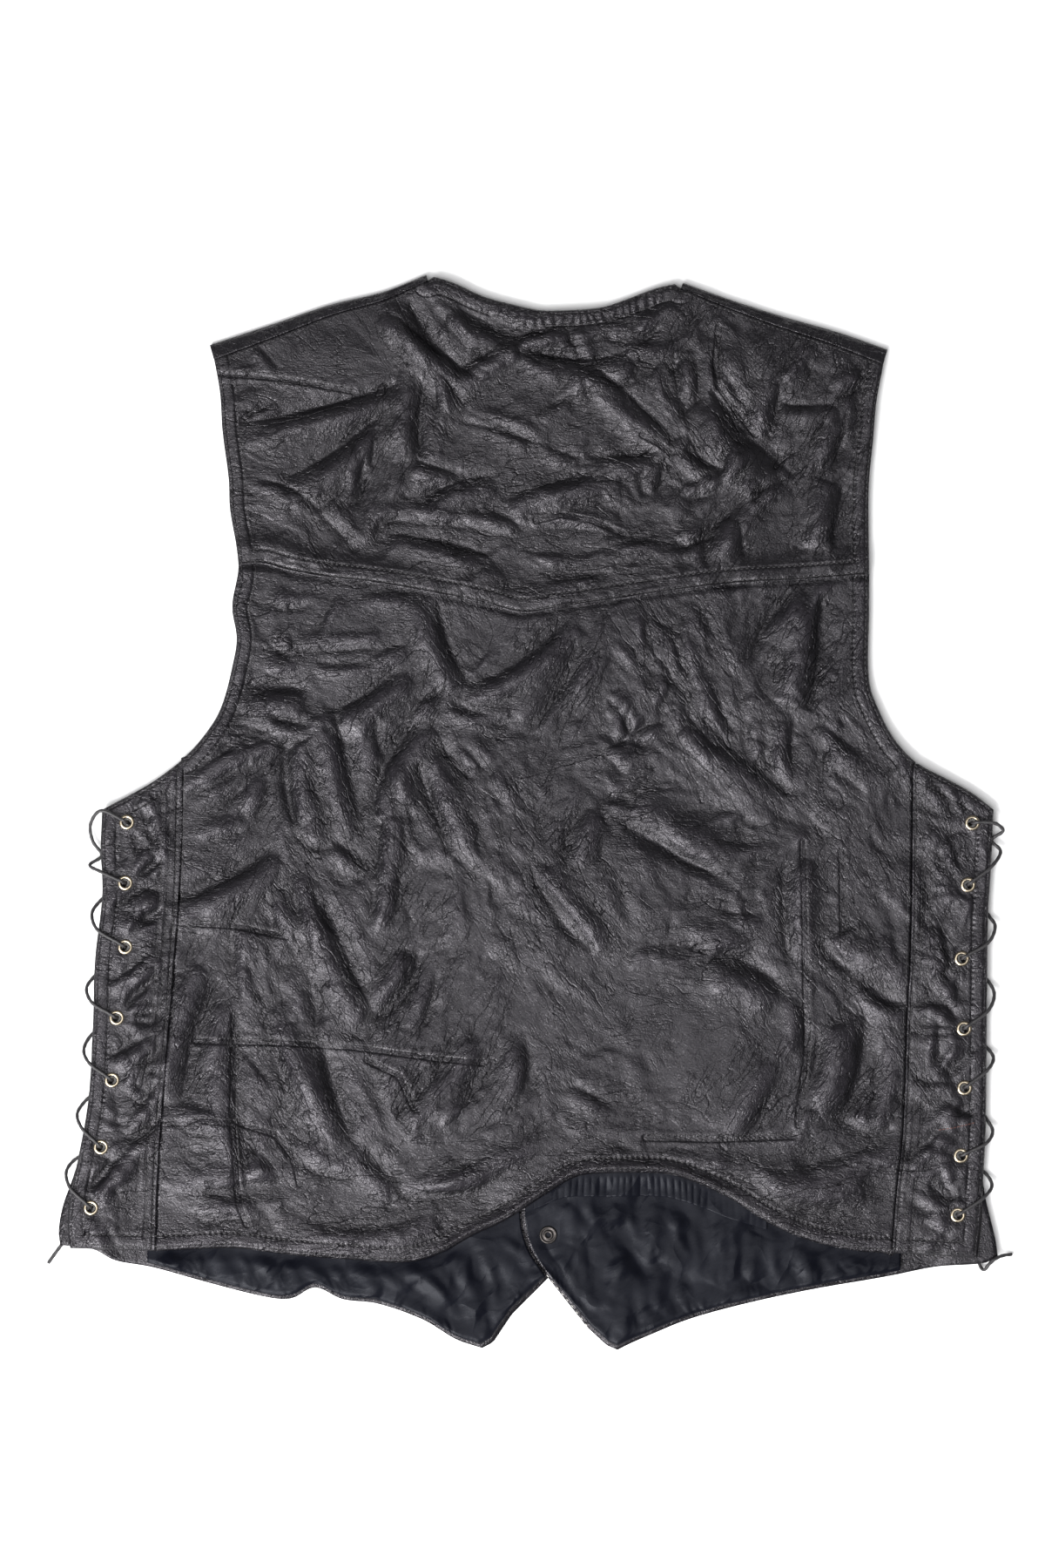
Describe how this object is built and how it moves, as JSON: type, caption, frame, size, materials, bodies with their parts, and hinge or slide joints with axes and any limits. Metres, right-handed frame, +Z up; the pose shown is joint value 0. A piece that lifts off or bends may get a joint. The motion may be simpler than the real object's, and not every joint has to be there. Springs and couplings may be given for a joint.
{
  "type": "laced leather vest laid flat",
  "caption": "Sleeveless patchwork leather vest laid flat with its back up, with a pointed yoke, laced sides through metal eyelets and pointed lined fronts.",
  "frame": {"origin": "on the surface below the middle of the vest's plan outline, laces left out", "axes": "+X to the right side of the picture, +Y towards the neck, +Z up out of the back of the vest"},
  "size_m": [0.6209, 0.6906, 0.0106],
  "materials": {
    "black_leather": "worn, heavily creased black leather with a soft sheen",
    "yoke_leather": "worn, heavily creased black leather with a soft sheen",
    "satin_lining": "dark blue-black satin lining",
    "lace_cord": "thin black leather lace",
    "eyelet_metal": "polished pale metal eyelet",
    "snap_metal": "dark gunmetal snap ring"
  },
  "bodies": {
    "root": {"back_yoke": "yoke_leather", "back_body": "black_leather", "back_side_left": "black_leather", "back_side_right": "black_leather", "front_left": "black_leather", "front_right": "black_leather", "front_lining_left": "satin_lining", "front_lining_right": "satin_lining", "back_hem_facing": "satin_lining", "snap_ring": "snap_metal", "lace_left": "lace_cord", "lace_right": "lace_cord", "eyelet_back_left_1": "eyelet_metal", "eyelet_back_left_2": "eyelet_metal", "eyelet_back_left_3": "eyelet_metal", "eyelet_back_left_4": "eyelet_metal", "eyelet_back_left_5": "eyelet_metal", "eyelet_back_left_6": "eyelet_metal", "eyelet_back_left_7": "eyelet_metal", "eyelet_back_right_1": "eyelet_metal", "eyelet_back_right_2": "eyelet_metal", "eyelet_back_right_3": "eyelet_metal", "eyelet_back_right_4": "eyelet_metal", "eyelet_back_right_5": "eyelet_metal", "eyelet_back_right_6": "eyelet_metal", "eyelet_back_right_7": "eyelet_metal", "eyelet_front_left_1": "eyelet_metal", "eyelet_front_left_2": "eyelet_metal", "eyelet_front_left_3": "eyelet_metal", "eyelet_front_left_4": "eyelet_metal", "eyelet_front_left_5": "eyelet_metal", "eyelet_front_left_6": "eyelet_metal", "eyelet_front_left_7": "eyelet_metal", "eyelet_front_right_1": "eyelet_metal", "eyelet_front_right_2": "eyelet_metal", "eyelet_front_right_3": "eyelet_metal", "eyelet_front_right_4": "eyelet_metal", "eyelet_front_right_5": "eyelet_metal", "eyelet_front_right_6": "eyelet_metal", "eyelet_front_right_7": "eyelet_metal"}
  },
  "joints": []
}
